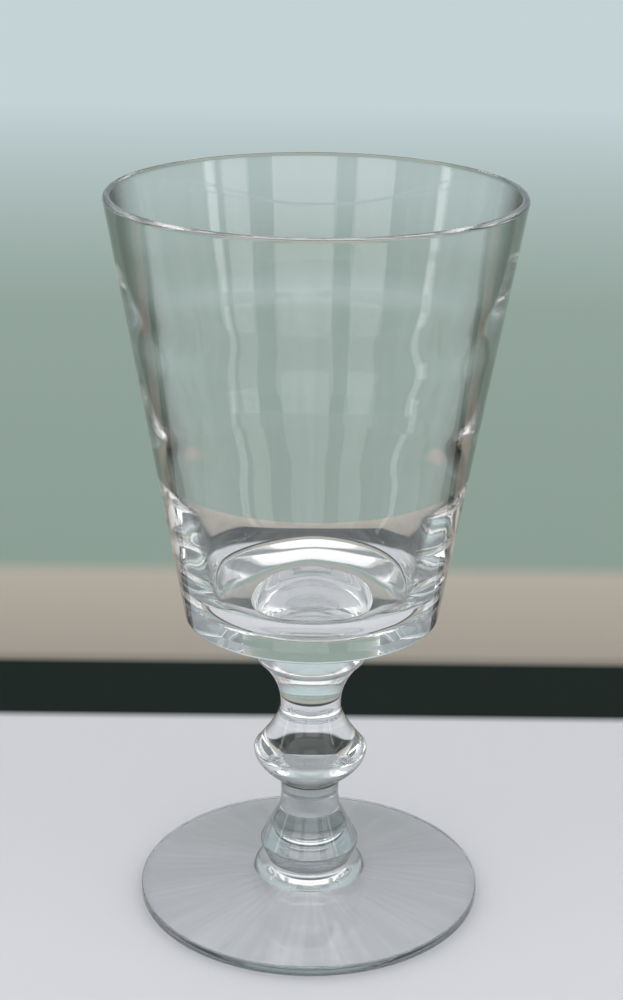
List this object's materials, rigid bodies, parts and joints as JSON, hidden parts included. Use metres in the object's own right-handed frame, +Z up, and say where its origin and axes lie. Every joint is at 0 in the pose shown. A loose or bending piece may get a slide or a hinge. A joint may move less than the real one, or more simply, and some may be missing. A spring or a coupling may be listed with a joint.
{
  "type": "footed water glass",
  "caption": "Clear glass goblet: a cone-shaped bowl with a thick rounded bottom on a short turned stem with a round knop and a bell, standing on a flat round foot, to drink water from.",
  "frame": {"origin": "centre of the foot, on the level of the flat ring that the glass stands on", "axes": "+Z up along the axis of the glass; X and Y are any two level directions, because the glass is round"},
  "size_m": [0.0862, 0.0862, 0.16],
  "materials": {
    "clear_glass": "fire-polished clear glass"
  },
  "bodies": {
    "root": {"foot": "clear_glass", "bell_stem": "clear_glass", "knop_stem": "clear_glass", "bowl": "clear_glass"}
  },
  "joints": []
}
